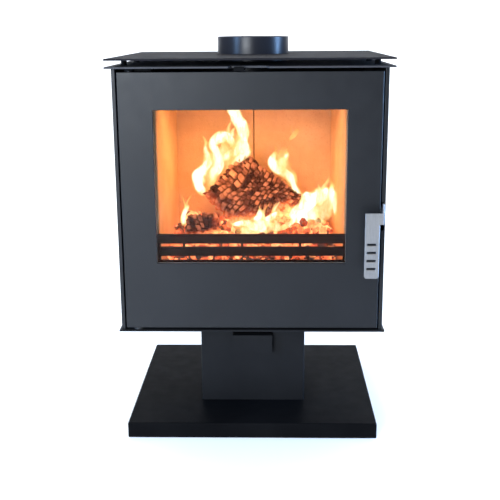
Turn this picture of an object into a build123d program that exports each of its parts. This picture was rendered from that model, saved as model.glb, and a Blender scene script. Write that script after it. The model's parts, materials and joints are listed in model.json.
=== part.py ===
from build123d import *
import os

# A wood burning stove on a pedestal, as the separate pieces that it is built from.
# Millimetres, Z up, the floor at Z = 0. The door faces -Y and +X is to its right.
# The origin is at floor level, in the middle of the stove's overall width and depth.

os.makedirs("parts", exist_ok=True)

# ---- Overall sizes ----
top_width = 470.0  # the two top plates, the widest pieces
top_depth = 432.0
top_height = 661.0  # floor to the upper face of the top
collar_height = 31.5  # flue collar above the top
handle_reach = 10.0  # the grip stands this far in front of the top plates

# ---- Base and pedestal ----
base_width = 442.2
base_depth = 403.6
base_height = 27.4
base_setback = 3.3  # behind the top plates' front edge
base_corner = 3.0
base_edge_radius = 2.8
base_lip = 22.0  # width of the lips folded in underneath
pedestal_width = 191.6
pedestal_depth = 225.0
pedestal_height = 167.3
pedestal_setback = 107.8
pedestal_flange = 24.0
pedestal_rear_flange = 16.0

# ---- Sheet and plate thicknesses ----
heavy_sheet = 3.0  # top plates, base, pedestal, bottom plate
casing_sheet = 2.0
firebox_plate = 4.0
firebox_end_plate = 5.0  # the firebox's front frame, top and floor

# ---- Body and casing ----
bottom_overhang = 3.75  # bottom plate beyond the casing, each side
bottom_setback = 15.6
top_overhang = 8.25  # top plates beyond the casing, each side
body_setback = 20.6
rear_setback = 5.4  # rear casing in front of the top plates' back edge
plate_air_gap = 9.8  # between the two top plates
casing_flange = 6.4
casing_rear_flange = 18.0
spacer_radius = 5.0
spacer_inset = 22.0
spacer_front_inset = 72.0

# ---- Door ----
door_thickness = 5.0
door_proud = 2.0  # door face in front of the casing's front flanges
door_side_gap = 2.5
door_top_gap = 6.2
door_bottom_gap = 3.3
window_side_margin = 57.05
window_sill_margin = 116.5
window_top_margin = 61.6
glass_thickness = 4.0
glass_overlap = 9.0
gasket_thickness = 1.0
hinge_inset = 20.0  # hinge axis from the door's left edge
hinge_depth = 9.0  # hinge axis behind the door's face
hinge_pin_radius = 3.0
hinge_lug_width = 16.0
hinge_lug_height = 40.0
running_clearance = 0.05  # pin in a turning hole
moving_clearance = 0.3  # between faces that slide or turn past each other

# ---- Door seal ----
seal_depth = 20.0  # firebox front face behind the door's face
seal_channel_depth = 10.4
seal_channel_wall = 3.0
rope_width = 8.0
rope_sunk = 6.0

# ---- Firebox ----
convection_gap = 42.25  # from the side casing's outer face to the firebox
rear_gap = 54.6  # between firebox and rear casing
firebox_head_gap = 15.2
plenum_height = 19.3
ash_height = 50.0
grate_frame_thickness = 4.0
frame_lip = 3.5  # front frame beyond the firebox sides
throat_side = 16.5  # front opening inside the firebox sides' outer faces
throat_head = 25.0
floor_brick = 22.0
rear_brick = 25.0
side_brick_front = 18.5
side_brick_rear = 29.5
brick_start = 30.4  # first brick behind the front frame
brick_gap = 0.3
rear_joint = 1.8  # open joint between the two rear bricks
tertiary_depth = 40.7
baffle_thickness = 20.0
baffle_headroom = 33.0
baffle_front_gap = 86.4

# ---- Flue collar ----
flue_bore = 127.0
collar_wall = 3.75
collar_socket = 45.0
collar_ledge = 3.5
collar_flange_width = 18.0
collar_flange_thickness = 6.0
collar_rear_offset = 88.0  # axis in front of the firebox's back
collar_hole_gap = 1.5

# ---- Controls ----
notch_width = 66.7
notch_centre = -1.35
notch_depth = 16.0
notch_taper = 5.0
lever_width = 17.1
lever_centre = -17.05
lever_thickness = 3.0
knob_height = 3.9
knob_depth = 8.0
knob_setback = 1.5
slide_plate = 2.0
primary_width = 71.5
primary_reach = 13.0
primary_drop = 34.0
primary_level = 132.6  # upper face of the slide above the base
primary_slot_gap = 3.3
valve_width = 100.0
valve_depth = 112.0

# ---- Latch handle ----
grip_inset = 27.85  # grip's left edge from the door's right edge
grip_width = 24.5
grip_low = 103.0  # above the bottom plate's underside
grip_height = 112.0
grip_slot_pitch = 13.9
grip_slot_width = 15.0
grip_slot_height = 3.6
latch_sheet = 3.0
latch_gap = 0.55  # between the latch plate and the door's edge
latch_tab_drop = 19.0
latch_flare_rise = 15.6
latch_flare_depth = 8.0
latch_pivot_drop = 4.0  # pivot below the grip's top edge
latch_pivot_depth = 15.4  # pivot behind the casing's front
latch_boss = 9.0
latch_pin_radius = 3.0
latch_sweep = 0.8  # how far the latch swings outwards as the door opens
notch_above_pivot = 17.2
notch_below_pivot = 32.0

# ---- Log guard ----
guard_thickness = 4.0
guard_setback = 22.4  # behind the front frame
guard_height = 59.4
guard_top_bar = 17.0
guard_top_slot = 6.0
guard_mid_bar = 16.4
guard_low_slot = 7.6
guard_side_gap = 8.0
guard_end_bar = 12.5
guard_tie = 4.0

# ---- Grate, ash pan, fuel ----
grate_width = 160.0
grate_depth = 150.0
grate_thickness = 12.0
grate_lip = 10.0
grate_slots = 9
pan_width = 280.0
pan_height = 43.0
pan_wall = 2.0
pan_front_gap = 14.0
pan_rear_gap = 55.0
ember_height = 25.0
ember_slope = 12.0
fuel_headroom = 90.0  # highest log under the baffle
log_depth = 60.0
log_rear_gap = 40.0
log_left_gap = 48.0  # from the rear left corner of the bricks
log_right_gap = 32.0
log_spacing = 3.0  # between the two logs
small_log_left_gap = 24.0
small_log_length = 70.0
small_log_radius = 27.0

# ---- Fasteners ----
bolt_radius = 4.0
bolt_head_radius = 7.0
bolt_head_height = 4.0
screw_radius = 2.0
screw_head_radius = 4.0
screw_head_height = 2.6

# ---- Levels worked out from the sizes above ----
pedestal_top = base_height + pedestal_height
floor_level = pedestal_top + heavy_sheet  # upper face of the bottom plate
collar_top = top_height + collar_height
upper_plate_low = top_height - heavy_sheet
lower_plate_top = upper_plate_low - plate_air_gap
body_top = lower_plate_top - heavy_sheet
door_low = floor_level + door_bottom_gap
door_high = body_top - door_top_gap
window_low = door_low + window_sill_margin
window_high = door_high - window_top_margin
firebox_top = body_top - firebox_head_gap
firebox_ceiling = firebox_top - firebox_end_plate
ash_floor = floor_level + plenum_height + firebox_end_plate
grate_level = ash_floor + ash_height + grate_frame_thickness
hearth = grate_level + floor_brick
throat_high = firebox_ceiling - throat_head
baffle_low = firebox_ceiling - baffle_headroom - baffle_thickness
ember_top = hearth + ember_height

# ---- Depths ----
top_front = -(top_depth - handle_reach) / 2
top_back = top_front + top_depth
top_middle = (top_front + top_back) / 2
handle_front = top_front - handle_reach
base_front = top_front + base_setback
base_middle = base_front + base_depth / 2
pedestal_front = top_front + pedestal_setback
pedestal_back = pedestal_front + pedestal_depth
bottom_front = top_front + bottom_setback
body_front = top_front + body_setback
body_back = top_back - rear_setback - casing_sheet
door_front = body_front - door_proud
door_back = door_front + door_thickness
seal_face = door_front + seal_depth
firebox_front = seal_face + firebox_end_plate
firebox_back = body_back - rear_gap
firebox_inner_back = firebox_back - firebox_plate
rear_brick_face = firebox_inner_back - tertiary_depth - rear_brick
brick_front = firebox_front + brick_start
guard_front = firebox_front + guard_setback
guard_back = guard_front + guard_thickness
collar_y = firebox_back - collar_rear_offset
hinge_y = door_front + hinge_depth

# ---- Half widths ----
top_half = top_width / 2
base_half = base_width / 2
pedestal_half = pedestal_width / 2
body_half = top_half - top_overhang
bottom_half = body_half + bottom_overhang
casing_inner = body_half - casing_sheet
door_half = body_half - casing_flange - door_side_gap
window_half = door_half - window_side_margin
firebox_half = body_half - convection_gap
firebox_inner = firebox_half - firebox_plate
throat_half = firebox_half - throat_side
frame_half = firebox_half + frame_lip
brick_half_front = firebox_inner - side_brick_front
brick_half_rear = firebox_inner - side_brick_rear
hinge_x = -door_half + hinge_inset
guard_half = throat_half + frame_lip + 1.0

# ---- The latch plate's own lines ----
latch_in = door_half + latch_gap
latch_out = latch_in + latch_sheet
grip_left = door_half - grip_inset
grip_bottom = pedestal_top + grip_low
grip_top = grip_bottom + grip_height
latch_y = body_front + latch_pivot_depth
latch_z = grip_top - latch_pivot_drop

# ---- Directions ----
UP = (0, 0, 1)
DOWN = (0, 0, -1)
BACK = (0, 1, 0)
FRONT = (0, -1, 0)
RIGHT = (1, 0, 0)


def block(x, y, z, mode=Mode.ADD):
    """A rectangular block between two limits along each axis."""
    with Locations(((x[0] + x[1]) / 2, (y[0] + y[1]) / 2, (z[0] + z[1]) / 2)):
        Box(x[1] - x[0], y[1] - y[0], z[1] - z[0], mode=mode)


def span(side, near, far):
    """The X limits of something on the left (side -1) or the right (side 1)."""
    return (side * near, side * far) if side > 0 else (side * far, side * near)


def facing(axis, x, y, z):
    """A plane at a point, its Z axis along the given direction and its X axis level."""
    return Plane(origin=(x, y, z), x_dir=BACK if axis == RIGHT else RIGHT, z_dir=axis)


def fasteners(seats, shank_radius, shank_length, head_radius, head_height):
    """Hexagon-headed screws, one on each seat plane, with the head on the plane's Z side."""
    with BuildPart() as group:
        for seat in seats:
            with BuildSketch(seat):
                RegularPolygon(head_radius, 6)
            extrude(amount=head_height)
            with BuildSketch(seat):
                Circle(shank_radius)
            extrude(amount=-shank_length)
    return group


def rod(axis, x, y, z, radius, length, mode=Mode.ADD):
    """A round pin that starts at a point and runs along the given direction."""
    with Locations(facing(axis, x, y, z)):
        Cylinder(radius, length, align=(Align.CENTER, Align.CENTER, Align.MIN), mode=mode)


def drill(axis, x, y, z, radius, length):
    """A round hole that starts at a point and runs along the given direction."""
    rod(axis, x, y, z, radius, length, Mode.SUBTRACT)


# ==== Base and pedestal ====

pedestal_middle = (pedestal_front + pedestal_back) / 2
flange_line = pedestal_half - pedestal_flange / 2
foot_bolts = [
    (side * flange_line, pedestal_middle + end * pedestal_depth / 4)
    for side in (-1, 1)
    for end in (-1, 1)
]

# A folded steel tray with lips turned in underneath, which stand on the floor.
with BuildPart() as base_plate:
    with BuildSketch():
        with Locations((0, base_middle)):
            RectangleRounded(base_width, base_depth, base_corner)
    extrude(amount=base_height)
    fillet(base_plate.edges().group_by(Axis.Z)[-1], radius=base_edge_radius)
    with BuildSketch():
        with Locations((0, base_middle)):
            Rectangle(base_width - 2 * heavy_sheet, base_depth - 2 * heavy_sheet)
    extrude(amount=base_height - heavy_sheet, mode=Mode.SUBTRACT)
    with BuildSketch():
        with Locations((0, base_middle)):
            Rectangle(base_width - 2 * heavy_sheet, base_depth - 2 * heavy_sheet)
            Rectangle(base_width - 2 * base_lip, base_depth - 2 * base_lip, mode=Mode.SUBTRACT)
    extrude(amount=heavy_sheet)
    for x, y in foot_bolts:
        drill(DOWN, x, y, base_height, bolt_radius, heavy_sheet)
base_plate.part.label = "base_plate"

primary_top = base_height + primary_level
slide_low = primary_top - heavy_sheet
slot_half = primary_width / 2 + 1.2

# A box open at the back, with flanges all round its top and bottom.
with BuildPart() as pedestal_shell:
    block(
        (-pedestal_half, pedestal_half),
        (pedestal_front, pedestal_back),
        (base_height, pedestal_top),
    )
    fillet(
        pedestal_shell.edges().filter_by(Axis.Z).group_by(Axis.Y)[0],
        radius=base_corner,
    )
    block(
        (-pedestal_half + heavy_sheet, pedestal_half - heavy_sheet),
        (pedestal_front + heavy_sheet, pedestal_back),
        (base_height + heavy_sheet, pedestal_top - heavy_sheet),
        Mode.SUBTRACT,
    )
    block(
        (-pedestal_half + pedestal_flange, pedestal_half - pedestal_flange),
        (pedestal_front + pedestal_flange, pedestal_back),
        (base_height, pedestal_top),
        Mode.SUBTRACT,
    )
    for side in (-1, 1):
        block(
            span(side, pedestal_half - pedestal_rear_flange, pedestal_half - heavy_sheet),
            (pedestal_back - heavy_sheet, pedestal_back),
            (base_height + heavy_sheet, pedestal_top - heavy_sheet),
        )
    block(
        (-slot_half, slot_half),
        (pedestal_front, pedestal_front + heavy_sheet),
        (slide_low - moving_clearance, primary_top + primary_slot_gap),
        Mode.SUBTRACT,
    )
    for x, y in foot_bolts:
        drill(UP, x, y, base_height, bolt_radius, heavy_sheet)
        drill(DOWN, x, y, pedestal_top, bolt_radius, heavy_sheet)
    cover_screw_x = pedestal_half - pedestal_rear_flange / 2
    cover_screw_z = [base_height + pedestal_height / 4, pedestal_top - pedestal_height / 4]
    for side in (-1, 1):
        for z in cover_screw_z:
            drill(BACK, side * cover_screw_x, pedestal_back - heavy_sheet, z, screw_radius, heavy_sheet)
pedestal_shell.part.label = "pedestal_shell"

cover_edge_gap = 1.0
with BuildPart() as pedestal_rear_cover:
    block(
        (-pedestal_half + cover_edge_gap, pedestal_half - cover_edge_gap),
        (pedestal_back, pedestal_back + casing_sheet),
        (base_height + cover_edge_gap, pedestal_top - cover_edge_gap),
    )
    for side in (-1, 1):
        for z in cover_screw_z:
            drill(BACK, side * cover_screw_x, pedestal_back, z, screw_radius, casing_sheet)
    # Air holes for the room air that the fire draws in.
    with BuildSketch(facing(BACK, 0, pedestal_back, primary_top)):
        with GridLocations(26.0, 12.0, 5, 3):
            SlotOverall(18.0, 5.0)
    extrude(amount=casing_sheet, mode=Mode.SUBTRACT)
pedestal_rear_cover.part.label = "pedestal_rear_cover"

cover_seats = [
    facing(BACK, side * cover_screw_x, pedestal_back + casing_sheet, z)
    for side in (-1, 1)
    for z in cover_screw_z
]
pedestal_cover_screws = fasteners(
    cover_seats, screw_radius, casing_sheet + heavy_sheet, screw_head_radius, screw_head_height
)
pedestal_cover_screws.part.label = "pedestal_cover_screws"

base_bolt_seats = [facing(DOWN, x, y, base_height - heavy_sheet) for x, y in foot_bolts]
pedestal_base_bolts = fasteners(
    base_bolt_seats, bolt_radius, 2 * heavy_sheet, bolt_head_radius, bolt_head_height
)
pedestal_base_bolts.part.label = "pedestal_base_bolts"

top_bolt_seats = [facing(DOWN, x, y, pedestal_top - heavy_sheet) for x, y in foot_bolts]
pedestal_top_bolts = fasteners(
    top_bolt_seats, bolt_radius, 2 * heavy_sheet, bolt_head_radius, bolt_head_height
)
pedestal_top_bolts.part.label = "pedestal_top_bolts"

# ==== Primary air: a valve box under the body and the plate that slides beneath it ====

valve_front = pedestal_front + pedestal_flange + 2.0
valve_back = valve_front + valve_depth
valve_middle = (valve_front + valve_back) / 2
valve_half = valve_width / 2
valve_floor = primary_top + moving_clearance
valve_flange = 9.0
port_width = 60.0
port_depth = 40.0
rail_gap = primary_width / 2 + moving_clearance
rail_lip = 6.0

with BuildPart() as air_valve_box:
    block(
        (-valve_half, valve_half),
        (valve_front, valve_back),
        (valve_floor, pedestal_top),
    )
    block(
        (-valve_half + casing_sheet, valve_half - casing_sheet),
        (valve_front + casing_sheet, valve_back - casing_sheet),
        (valve_floor + casing_sheet, pedestal_top),
        Mode.SUBTRACT,
    )
    for side in (-1, 1):
        block(
            span(side, valve_half, valve_half + valve_flange),
            (valve_front, valve_back),
            (pedestal_top - casing_sheet, pedestal_top),
        )
        block(
            span(side, rail_gap, rail_gap + casing_sheet),
            (valve_front, valve_back),
            (slide_low - moving_clearance - casing_sheet, valve_floor),
        )
        block(
            span(side, rail_gap - rail_lip, rail_gap),
            (valve_front, valve_back),
            (slide_low - moving_clearance - casing_sheet, slide_low - moving_clearance),
        )
    with BuildSketch(Plane.XY.offset(valve_floor)):
        with Locations((0, valve_middle)):
            RectangleRounded(port_width, port_depth, 4.0)
    extrude(amount=casing_sheet, mode=Mode.SUBTRACT)
air_valve_box.part.label = "air_valve_box"

primary_travel = 25.0
with BuildPart() as primary_air_slide:
    block(
        (-primary_width / 2, primary_width / 2),
        (pedestal_front - primary_reach, valve_back - 2 * casing_sheet),
        (slide_low, primary_top),
    )
    block(
        (-primary_width / 2, primary_width / 2),
        (pedestal_front - primary_reach, pedestal_front - primary_reach + heavy_sheet),
        (primary_top - primary_drop, primary_top),
    )
    fillet(
        primary_air_slide.edges().filter_by(Axis.X).group_by(Axis.Y)[0].sort_by(Axis.Z)[-1],
        radius=heavy_sheet / 2,
    )
    fillet(
        primary_air_slide.edges().filter_by(Axis.Y).group_by(Axis.Z)[0],
        radius=heavy_sheet,
    )
    # The port lines up with the valve box's port when the slide is pulled out.
    with BuildSketch(Plane.XY.offset(slide_low)):
        with Locations((0, valve_middle + primary_travel)):
            RectangleRounded(port_width, primary_travel - 4.0, 4.0)
    extrude(amount=heavy_sheet, mode=Mode.SUBTRACT)
primary_air_slide.part.label = "primary_air_slide"

# ==== Body: bottom plate, casings, top plates ====

inlet_width = valve_width - 2 * casing_sheet
inlet_depth = valve_depth - 2 * casing_sheet
bottom_back = body_back + casing_sheet

with BuildPart() as bottom_plate:
    block(
        (-bottom_half, bottom_half),
        (bottom_front, bottom_back),
        (pedestal_top, floor_level),
    )
    chamfer(bottom_plate.edges().group_by(Axis.Y)[0].filter_by(Axis.X), length=0.6)
    block(
        (-inlet_width / 2, inlet_width / 2),
        (valve_middle - inlet_depth / 2, valve_middle + inlet_depth / 2),
        (pedestal_top, floor_level),
        Mode.SUBTRACT,
    )
    drill(
        UP, hinge_x, hinge_y, pedestal_top, hinge_pin_radius + running_clearance, heavy_sheet
    )
    for x, y in foot_bolts:
        drill(UP, x, y, pedestal_top, bolt_radius, heavy_sheet)
bottom_plate.part.label = "bottom_plate"


def side_casing(side):
    """A folded side sheet: a narrow flange beside the door and a wider one at the back."""
    with BuildPart() as casing:
        block(
            span(side, casing_inner, body_half),
            (body_front, body_back),
            (floor_level, body_top),
        )
        block(
            span(side, body_half - casing_flange, casing_inner),
            (body_front, body_front + casing_sheet),
            (floor_level, body_top),
        )
        block(
            span(side, body_half - casing_rear_flange, casing_inner),
            (body_back - casing_sheet, body_back),
            (floor_level, body_top),
        )
        fillet(casing.edges().filter_by(Axis.Z).group_by(Axis.Y)[0], radius=0.9)
    return casing


side_casing_left = side_casing(-1)
side_casing_left.part.label = "side_casing_left"

with BuildPart() as side_casing_right:
    add(side_casing(1))
    # The flange is cut away where the door's latch passes through it.
    block(
        (body_half - casing_flange, casing_inner),
        (body_front, body_front + casing_sheet),
        (latch_z - notch_below_pivot, latch_z + notch_above_pivot),
        Mode.SUBTRACT,
    )
side_casing_right.part.label = "side_casing_right"

rear_half = body_half - 2.0
rear_screw_x = body_half - casing_rear_flange / 2 - casing_sheet / 2
body_middle_z = (floor_level + body_top) / 2
rear_screw_z = [floor_level + 20.0, body_middle_z, body_top - 20.0]
vent_margin = 45.0

with BuildPart() as rear_casing:
    block(
        (-rear_half, rear_half),
        (body_back, body_back + casing_sheet),
        (floor_level, body_top),
    )
    for level in (floor_level + vent_margin, body_top - vent_margin):
        with BuildSketch(facing(BACK, 0, body_back, level)):
            with GridLocations(50.0, 14.0, 7, 3):
                SlotOverall(38.0, 6.0)
        extrude(amount=casing_sheet, mode=Mode.SUBTRACT)
    for side in (-1, 1):
        for z in rear_screw_z:
            drill(BACK, side * rear_screw_x, body_back, z, screw_radius, casing_sheet)
rear_casing.part.label = "rear_casing"

rear_seats = [
    facing(BACK, side * rear_screw_x, body_back + casing_sheet, z)
    for side in (-1, 1)
    for z in rear_screw_z
]
rear_casing_screws = fasteners(
    rear_seats, screw_radius, casing_sheet, screw_head_radius, screw_head_height
)
rear_casing_screws.part.label = "rear_casing_screws"

collar_radius = flue_bore / 2 + collar_wall
collar_hole = collar_radius + collar_hole_gap
notch_half = notch_width / 2


def top_plate(level):
    """A flat plate with eased edges and a hole that the flue collar stands in."""
    with BuildPart() as sheet:
        with BuildSketch(Plane.XY.offset(level)):
            with Locations((0, top_middle)):
                RectangleRounded(top_width, top_depth, 2.0)
        extrude(amount=heavy_sheet)
        chamfer(sheet.edges().group_by(Axis.Z)[-1], length=0.7)
        chamfer(sheet.edges().group_by(Axis.Z)[0], length=0.5)
        drill(UP, 0, collar_y, level, collar_hole, heavy_sheet)
    return sheet


top_plate_upper = top_plate(upper_plate_low)
top_plate_upper.part.label = "top_plate_upper"

with BuildPart() as top_plate_lower:
    add(top_plate(body_top))
    # A notch in the front edge, with slanted ends, for the air wash knob.
    with BuildSketch(Plane.XY.offset(body_top)):
        with BuildLine():
            Polyline(
                (notch_centre - notch_half, top_front),
                (notch_centre + notch_half, top_front),
                (notch_centre + notch_half - notch_taper, top_front + notch_depth),
                (notch_centre - notch_half + notch_taper, top_front + notch_depth),
                close=True,
            )
        make_face()
    extrude(amount=heavy_sheet, mode=Mode.SUBTRACT)
top_plate_lower.part.label = "top_plate_lower"

spacer_x = top_half - spacer_inset
spacer_y = [top_front + spacer_front_inset, top_middle, top_back - spacer_front_inset]
with BuildPart() as top_spacers:
    for side in (-1, 1):
        for y in spacer_y:
            rod(UP, side * spacer_x, y, lower_plate_top, spacer_radius, plate_air_gap)
top_spacers.part.label = "top_spacers"

# ==== Flue collar ====

collar_bolt_ring = collar_radius + collar_flange_width / 2
collar_throat = flue_bore / 2 - collar_ledge
collar_bolts_at = PolarLocations(collar_bolt_ring, 4, 45.0)

# A cast ring bolted to the firebox. It stands clear of the top plates around it.
with BuildPart() as flue_collar:
    rod(UP, 0, collar_y, firebox_top, collar_radius + collar_flange_width, collar_flange_thickness)
    rod(UP, 0, collar_y, firebox_top, collar_radius, collar_top - firebox_top)
    drill(DOWN, 0, collar_y, collar_top, flue_bore / 2, collar_socket)
    drill(UP, 0, collar_y, firebox_top, collar_throat, collar_top - firebox_top)
    fillet(flue_collar.edges().group_by(Axis.Z)[-1], radius=1.2)
    with BuildSketch(facing(UP, 0, collar_y, firebox_top)):
        with collar_bolts_at:
            Circle(bolt_radius)
    extrude(amount=collar_flange_thickness, mode=Mode.SUBTRACT)
flue_collar.part.label = "flue_collar"

collar_seats = [
    facing(UP, place.position.X, collar_y + place.position.Y, firebox_top + collar_flange_thickness)
    for place in collar_bolts_at
]
collar_bolts = fasteners(
    collar_seats,
    bolt_radius,
    collar_flange_thickness + firebox_end_plate,
    bolt_head_radius,
    bolt_head_height,
)
collar_bolts.part.label = "collar_bolts"

# ==== Firebox: welded plates ====

with BuildPart() as firebox_front_frame:
    block((-frame_half, frame_half), (seal_face, firebox_front), (floor_level, firebox_top))
    block(
        (-throat_half, throat_half),
        (seal_face, firebox_front),
        (ash_floor, throat_high),
        Mode.SUBTRACT,
    )
firebox_front_frame.part.label = "firebox_front_frame"

with BuildPart() as firebox_floor:
    block(
        (-firebox_inner, firebox_inner),
        (firebox_front, firebox_inner_back),
        (ash_floor - firebox_end_plate, ash_floor),
    )
    with BuildSketch(Plane.XY.offset(ash_floor - firebox_end_plate)):
        with Locations((0, firebox_inner_back - pan_rear_gap / 2)):
            with GridLocations(60.0, 1.0, 5, 1):
                SlotOverall(44.0, 14.0)
    extrude(amount=firebox_end_plate, mode=Mode.SUBTRACT)
firebox_floor.part.label = "firebox_floor"


def firebox_side(side):
    """One of the firebox's side plates, from the bottom plate up to the top."""
    with BuildPart() as wall:
        block(
            span(side, firebox_inner, firebox_half),
            (firebox_front, firebox_inner_back),
            (floor_level, firebox_ceiling),
        )
    return wall


firebox_side_left = firebox_side(-1)
firebox_side_left.part.label = "firebox_side_left"
firebox_side_right = firebox_side(1)
firebox_side_right.part.label = "firebox_side_right"

tertiary_inlet_z = grate_level + 40.0
with BuildPart() as firebox_rear:
    block(
        (-firebox_half, firebox_half),
        (firebox_inner_back, firebox_back),
        (floor_level, firebox_ceiling),
    )
    with BuildSketch(facing(BACK, 0, firebox_inner_back, tertiary_inlet_z)):
        with GridLocations(70.0, 1.0, 3, 1):
            Circle(12.0)
    extrude(amount=firebox_plate, mode=Mode.SUBTRACT)
firebox_rear.part.label = "firebox_rear"

wash_pitch = 50.0
wash_ports = 6
wash_port_width = 30.0
wash_port_depth = 7.0
wash_y = firebox_front + 8.0

with BuildPart() as firebox_top_plate:
    block(
        (-firebox_half, firebox_half),
        (firebox_front, firebox_back),
        (firebox_ceiling, firebox_top),
    )
    drill(UP, 0, collar_y, firebox_ceiling, collar_throat, firebox_end_plate)
    with BuildSketch(facing(UP, 0, collar_y, firebox_ceiling)):
        with collar_bolts_at:
            Circle(bolt_radius)
    extrude(amount=firebox_end_plate, mode=Mode.SUBTRACT)
    with BuildSketch(Plane.XY.offset(firebox_ceiling)):
        with Locations((0, wash_y)):
            with GridLocations(wash_pitch, 1.0, wash_ports, 1):
                SlotOverall(wash_port_width, wash_port_depth)
    extrude(amount=firebox_end_plate, mode=Mode.SUBTRACT)
firebox_top_plate.part.label = "firebox_top_plate"

# ==== Air wash: a slider over the ports and a plate that turns the air down the glass ====

wash_half = wash_pitch * wash_ports / 2
deflector_y = wash_y + wash_port_depth / 2 + 3.0
with BuildPart() as air_wash_deflector:
    block(
        (-throat_half, throat_half),
        (deflector_y, deflector_y + casing_sheet),
        (throat_high - 4.0, firebox_ceiling),
    )
    block(
        (-throat_half, throat_half),
        (deflector_y - 6.0, deflector_y),
        (throat_high - 4.0, throat_high - 4.0 + casing_sheet),
    )
air_wash_deflector.part.label = "air_wash_deflector"

slider_low = firebox_top + moving_clearance
slider_back = wash_y + wash_port_depth / 2 + 4.0
arm_top = body_top - 1.5
knob_front = top_front + knob_setback
lever_left = lever_centre - lever_width / 2
lever_right = lever_centre + lever_width / 2
with BuildPart() as air_wash_slider:
    block(
        (-wash_half, wash_half),
        (firebox_front + 1.0, slider_back),
        (slider_low, slider_low + slide_plate),
    )
    with BuildSketch(Plane.XY.offset(slider_low)):
        with Locations((0, wash_y)):
            with GridLocations(wash_pitch, 1.0, wash_ports, 1):
                SlotOverall(wash_port_width - 12.0, wash_port_depth)
    extrude(amount=slide_plate, mode=Mode.SUBTRACT)
    block((lever_left, lever_right), (slider_back - slide_plate, slider_back), (slider_low, arm_top))
    block(
        (lever_left, lever_right),
        (knob_front, slider_back),
        (arm_top - lever_thickness, arm_top),
    )
    block(
        (lever_left, lever_right),
        (knob_front, knob_front + knob_depth),
        (arm_top, arm_top + knob_height),
    )
    fillet(
        air_wash_slider.edges().group_by(Axis.Z)[-1],
        radius=1.2,
    )
air_wash_slider.part.label = "air_wash_slider"

# ==== Grate, bricks, baffle and ash pan ====

grate_y = (brick_front + rear_brick_face) / 2
grate_half = grate_width / 2
frame_opening_width = grate_width - 2 * grate_lip
frame_opening_depth = grate_depth - 2 * grate_lip

with BuildPart() as grate_frame:
    block(
        (-firebox_inner, firebox_inner),
        (firebox_front, firebox_inner_back),
        (grate_level - grate_frame_thickness, grate_level),
    )
    block(
        (-frame_opening_width / 2, frame_opening_width / 2),
        (grate_y - frame_opening_depth / 2, grate_y + frame_opening_depth / 2),
        (grate_level - grate_frame_thickness, grate_level),
        Mode.SUBTRACT,
    )
grate_frame.part.label = "grate_frame"

slot_pitch = frame_opening_width / grate_slots
with BuildPart() as grate:
    with BuildSketch(Plane.XY.offset(grate_level)):
        with Locations((0, grate_y)):
            RectangleRounded(grate_width - 2 * brick_gap, grate_depth - 2 * brick_gap, 3.0)
            with GridLocations(slot_pitch, 1.0, grate_slots, 1):
                SlotOverall(
                    frame_opening_depth - grate_lip,
                    slot_pitch / 2,
                    rotation=90,
                    mode=Mode.SUBTRACT,
                )
    extrude(amount=grate_thickness)
grate.part.label = "grate"

floor_half = brick_half_rear - brick_gap
grate_front = grate_y - grate_depth / 2
grate_back = grate_y + grate_depth / 2

with BuildPart() as floor_brick_front:
    block((-floor_half, floor_half), (brick_front, grate_front), (grate_level, hearth))
floor_brick_front.part.label = "floor_brick_front"

with BuildPart() as floor_brick_rear:
    block(
        (-floor_half, floor_half),
        (grate_back, rear_brick_face - brick_gap),
        (grate_level, hearth),
    )
floor_brick_rear.part.label = "floor_brick_rear"

with BuildPart() as floor_bricks_side:
    for side in (-1, 1):
        block(
            span(side, grate_half, floor_half),
            (grate_front + brick_gap, grate_back - brick_gap),
            (grate_level, hearth),
        )
floor_bricks_side.part.label = "floor_bricks_side"


def side_brick(side):
    """A firebrick that is thicker at the back, so that the fire widens towards the glass."""
    with BuildPart() as brick:
        with BuildSketch(Plane.XY.offset(grate_level)):
            with BuildLine():
                Polyline(
                    (side * firebox_inner, brick_front),
                    (side * brick_half_front, brick_front),
                    (side * brick_half_rear, rear_brick_face - brick_gap),
                    (side * firebox_inner, rear_brick_face - brick_gap),
                    close=True,
                )
            make_face()
        extrude(amount=baffle_low - grate_level)
        chamfer(brick.edges().filter_by(Axis.Z), length=1.5)
    return brick


side_brick_left = side_brick(-1)
side_brick_left.part.label = "side_brick_left"
side_brick_right = side_brick(1)
side_brick_right.part.label = "side_brick_right"

tertiary_hole = 4.0
tertiary_hole_z = baffle_low - 12.0
tertiary_pitch = 32.0


def back_brick(side):
    """Half of the firebox's back wall, with a row of air holes just under the baffle."""
    middle = firebox_inner / 2
    with BuildPart() as brick:
        block(
            span(side, rear_joint / 2, firebox_inner - brick_gap),
            (rear_brick_face, rear_brick_face + rear_brick),
            (grate_level, baffle_low),
        )
        chamfer(brick.edges().filter_by(Axis.Z), length=1.5)
        with BuildSketch(facing(BACK, side * middle, rear_brick_face, tertiary_hole_z)):
            with GridLocations(tertiary_pitch, 1.0, 4, 1):
                Circle(tertiary_hole)
        extrude(amount=rear_brick, mode=Mode.SUBTRACT)
    return brick


rear_brick_left = back_brick(-1)
rear_brick_left.part.label = "rear_brick_left"
rear_brick_right = back_brick(1)
rear_brick_right.part.label = "rear_brick_right"

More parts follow.
